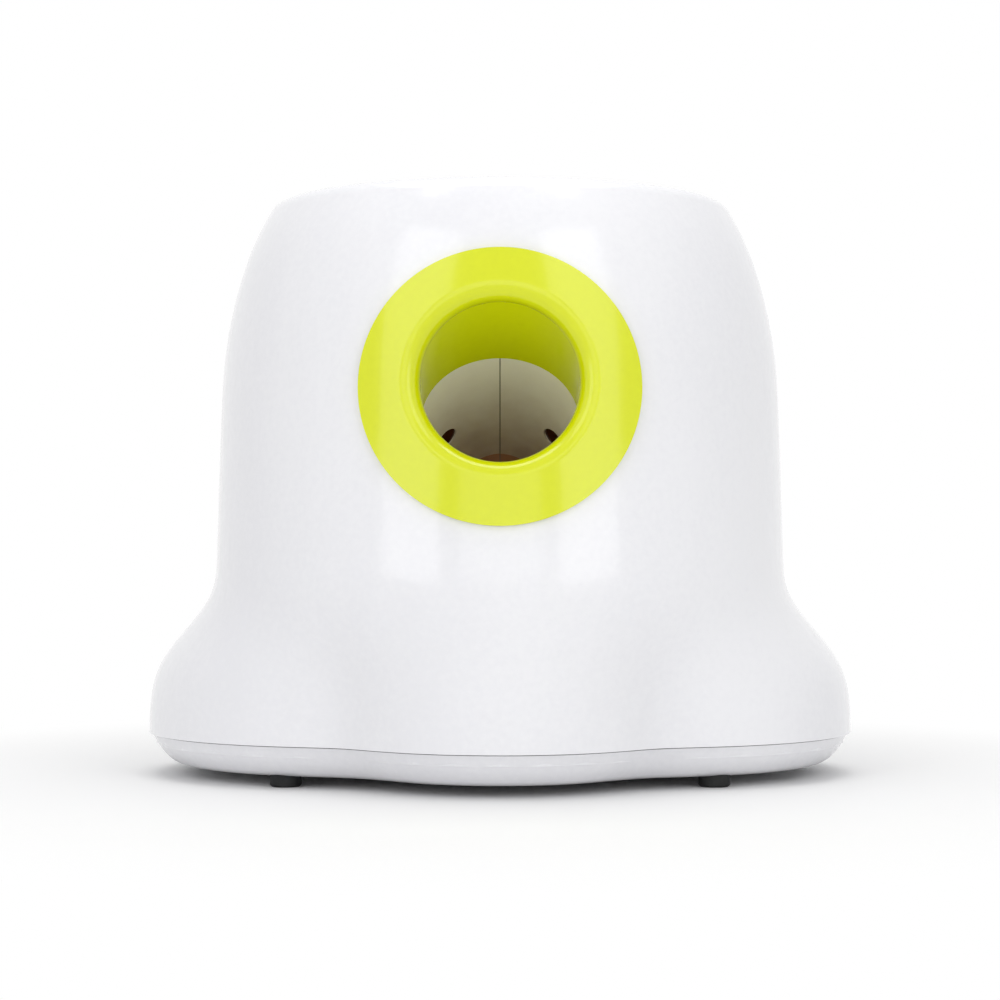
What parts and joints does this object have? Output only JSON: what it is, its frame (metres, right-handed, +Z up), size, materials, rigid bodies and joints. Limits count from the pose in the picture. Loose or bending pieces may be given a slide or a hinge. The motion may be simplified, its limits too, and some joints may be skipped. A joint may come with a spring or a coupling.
{
  "type": "automatic dog ball launcher",
  "caption": "Free-standing ball launcher for dogs: a rounded body with a funnel on top, a tilted barrel inside and a round launch ring in front.",
  "frame": {"origin": "on the floor, under the middle of the body", "axes": "+X to the right seen from the front, +Y to the back, +Z up; the ball leaves towards -Y"},
  "size_m": [0.2812, 0.2268, 0.226],
  "materials": {
    "body": "white gloss moulding",
    "tray": "white satin moulding",
    "bowl": "white gloss moulding",
    "ring": "lime green gloss moulding",
    "barrel": "warm white moulding",
    "ir_glass": "dark red infrared window",
    "circuit_board": "green laminate with solder mask",
    "gear_plastic": "natural acetal",
    "pad_rubber": "black rubber",
    "spring_steel": "drawn spring wire",
    "pin_steel": "ground steel",
    "frame_plastic": "black glass-filled moulding",
    "motor_can": "drawn steel can",
    "brass_pinion": "cut brass",
    "component_black": "black component bodies",
    "panel": "grey satin moulding",
    "button": "lime green soft button",
    "lens": "clear light pipe",
    "inlet_black": "black moulding",
    "cell_jacket": "plain dark blue jacket",
    "contact_metal": "nickel plated strip",
    "foot_rubber": "black rubber",
    "screw_steel": "zinc plated steel"
  },
  "bodies": {
    "casing": {"upper_housing": "body", "lower_housing": "tray", "hopper_bowl": "bowl", "launch_ring": "ring", "barrel_left": "barrel", "barrel_right": "barrel", "ir_window_left": "ir_glass", "ir_window_right": "ir_glass", "sensor_board_left": "circuit_board", "sensor_board_right": "circuit_board", "launch_spring": "spring_steel", "guide_rod": "pin_steel", "spring_bracket": "frame_plastic", "gearbox_frame": "frame_plastic", "gearbox_cover": "frame_plastic", "gear_axles": "pin_steel", "motor": "motor_can", "main_board": "circuit_board", "board_components": "component_black", "beeper": "component_black", "control_panel": "panel", "control_board": "circuit_board", "button_switches": "component_black", "indicator_lenses": "lens", "power_inlet": "inlet_black", "battery_door": "tray", "battery_cells": "cell_jacket", "battery_contacts": "contact_metal", "rubber_feet": "foot_rubber", "housing_screws": "screw_steel", "barrel_screws": "screw_steel", "gearbox_screws": "screw_steel", "board_screws": "screw_steel"},
    "striker_body": {"striker": "gear_plastic", "striker_pad": "pad_rubber"},
    "sector_gear_body": {"sector_gear": "gear_plastic"},
    "second_gear_body": {"second_gear": "gear_plastic"},
    "first_gear_body": {"first_gear": "gear_plastic"},
    "pinion_body": {"motor_pinion": "brass_pinion", "motor_shaft": "pin_steel"},
    "power_button_body": {"power_button": "button"},
    "distance_button_body": {"distance_button": "button"}
  },
  "joints": [
    {"name": "striker_slide", "type": "slide", "parent": "casing", "child": "striker_body", "axis": [0, 0.8387, -0.5446], "range_m": [0, 0.026], "stiffness_N_per_m": 250, "springref_m": -0.012, "deforming": ["launch_spring"]},
    {"name": "sector_gear_spin", "type": "hinge", "parent": "casing", "child": "sector_gear_body", "pos_m": [0, 0.0848, 0.06817], "axis": [1, 0, 0], "range_deg": [-0.5, 99.81]},
    {"name": "second_gear_spin", "type": "hinge", "parent": "casing", "child": "second_gear_body", "pos_m": [0, 0.078, 0.09118], "axis": [1, 0, 0], "range_deg": [-298.44, 0.5]},
    {"name": "first_gear_spin", "type": "hinge", "parent": "casing", "child": "first_gear_body", "pos_m": [0, 0.0705, 0.11398], "axis": [1, 0, 0], "range_deg": [-0.5, 894.31]},
    {"name": "pinion_spin", "type": "hinge", "parent": "casing", "child": "pinion_body", "pos_m": [0, 0.06202, 0.13643], "axis": [1, 0, 0], "range_deg": [-2681.94, 0.5]},
    {"name": "power_button_press", "type": "slide", "parent": "casing", "child": "power_button_body", "axis": [0, -1, 0], "range_m": [0, 0.0012], "stiffness_N_per_m": 600, "springref_m": -0.0006},
    {"name": "distance_button_press", "type": "slide", "parent": "casing", "child": "distance_button_body", "axis": [0, -1, 0], "range_m": [0, 0.0012], "stiffness_N_per_m": 600, "springref_m": -0.0006}
  ],
  "couplings": [
    {"joint": "sector_gear_spin", "follows": "striker_slide", "rad_per_m": 66.667},
    {"joint": "second_gear_spin", "follows": "striker_slide", "rad_per_m": -200},
    {"joint": "first_gear_spin", "follows": "striker_slide", "rad_per_m": 600},
    {"joint": "pinion_spin", "follows": "striker_slide", "rad_per_m": -1800}
  ]
}
